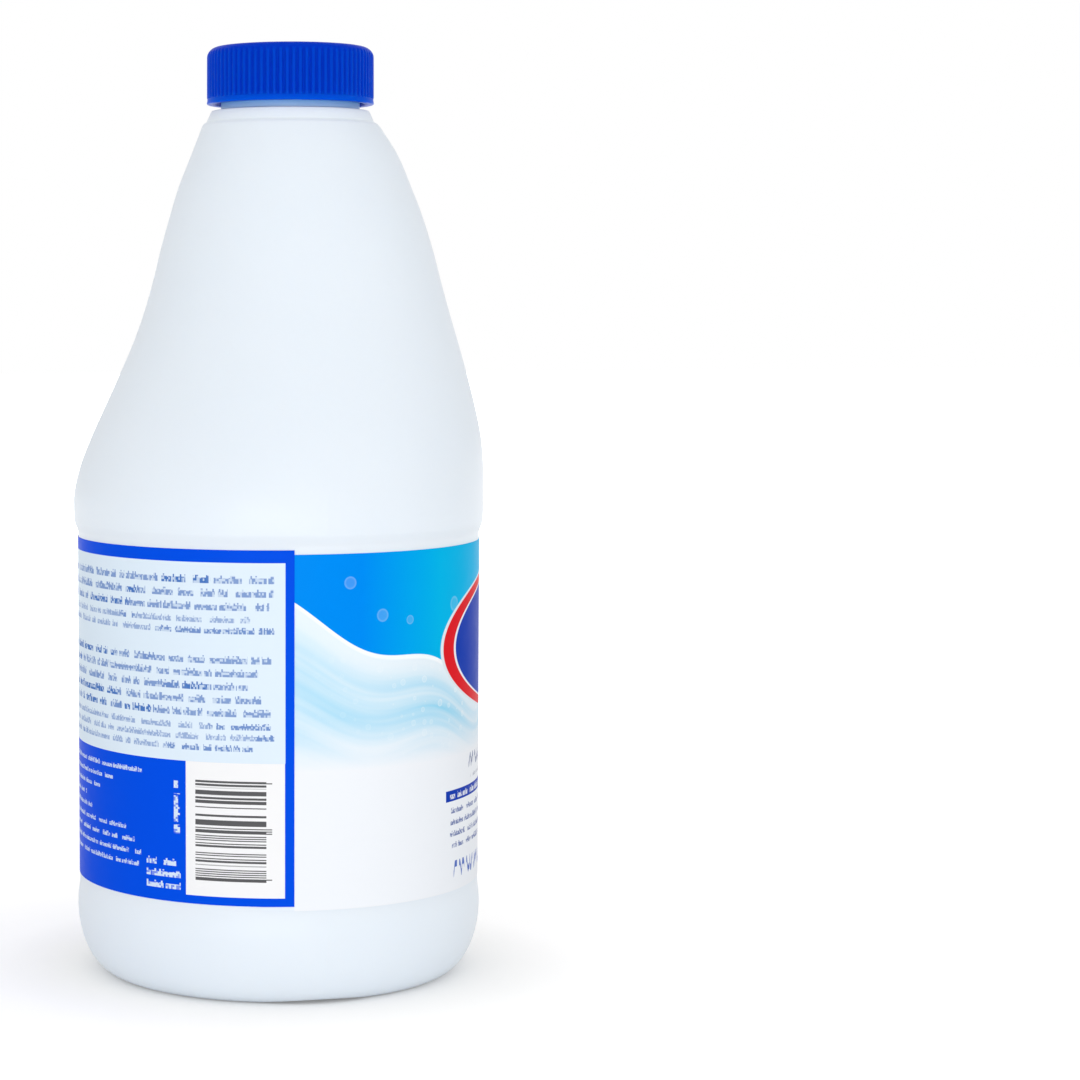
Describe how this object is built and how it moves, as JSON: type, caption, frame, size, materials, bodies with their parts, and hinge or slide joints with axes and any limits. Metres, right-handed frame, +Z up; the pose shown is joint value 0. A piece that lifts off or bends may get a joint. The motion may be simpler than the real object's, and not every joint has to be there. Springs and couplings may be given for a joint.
{
  "type": "bleach bottle",
  "caption": "Blow-moulded household bottle with a scooped back, a recessed wrap-around label and a ribbed screw cap with a foam seal.",
  "frame": {"origin": "under the middle of the base, on the surface that the bottle stands on", "axes": "+Z up through the body, -Y towards the front, where the neck stands forward, +X towards the bottle's left side"},
  "size_m": [0.106, 0.106, 0.238],
  "materials": {
    "bottle_plastic": "satin blow-moulded polyethylene, pale bluish white",
    "label_film": "printed film, blue and white fields with a soft gloss",
    "cap_plastic": "moulded polypropylene, royal blue, satin gloss",
    "seal_foam": "white closed-cell foam"
  },
  "bodies": {
    "bottle": {"bottle": "bottle_plastic", "label": "label_film"},
    "seal": {"seal": "seal_foam"},
    "cap": {"cap": "cap_plastic"}
  },
  "joints": [
    {"name": "cap_rise", "type": "slide", "parent": "bottle", "child": "seal", "axis": [0, 0, 1], "range_m": [0, 0.0064]},
    {"name": "cap_turn", "type": "hinge", "parent": "seal", "child": "cap", "pos_m": [0, -0.0031, 0.2235], "axis": [0, 0, 1], "range_deg": [0, 540]}
  ],
  "couplings": [
    {"joint": "cap_rise", "follows": "cap_turn", "m_per_rad": 0.0006737}
  ]
}
